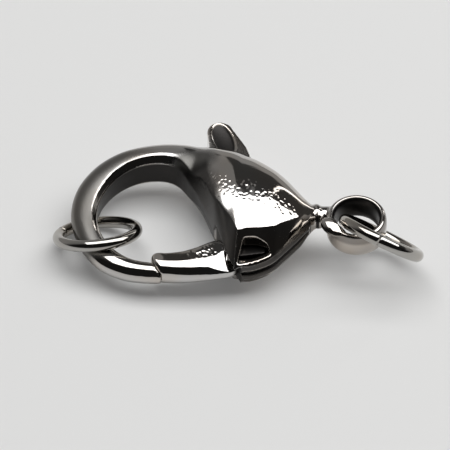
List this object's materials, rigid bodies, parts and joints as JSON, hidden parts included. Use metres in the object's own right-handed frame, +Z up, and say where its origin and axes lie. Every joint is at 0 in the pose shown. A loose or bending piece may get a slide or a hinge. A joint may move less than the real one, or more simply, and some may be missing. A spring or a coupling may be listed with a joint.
{
  "type": "lobster clasp with jump rings",
  "caption": "Cast lobster clasp with a sprung thumb lever, an eye at its tail and an open jump ring on the hook and in the eye.",
  "frame": {"origin": "middle of the footprint, on the surface that the clasp lies on", "axes": "+X along the clasp from the hook towards the eye, +Y across it towards the thumb tab, +Z up from the surface"},
  "size_m": [0.021, 0.0114, 0.0045],
  "materials": {
    "black_nickel_casting": "polished black nickel plate with an uneven cast surface",
    "black_nickel_lever": "polished black nickel plate",
    "steel_pin": "plain drawn steel",
    "black_nickel_wire": "plated round wire"
  },
  "bodies": {
    "frame": {"clasp_body": "black_nickel_casting", "pivot_pin": "steel_pin", "hook_ring": "black_nickel_wire", "eye_ring": "black_nickel_wire"},
    "lever": {"lever": "black_nickel_lever"}
  },
  "joints": [
    {"name": "gate_lever", "type": "hinge", "parent": "frame", "child": "lever", "pos_m": [0.0007, -0.00201, 0.00206], "axis": [0.0626, 0.0837, -0.9945], "range_deg": [0, 20], "stiffness_Nm_per_rad": 0.0003, "springref_deg": -11.46}
  ]
}
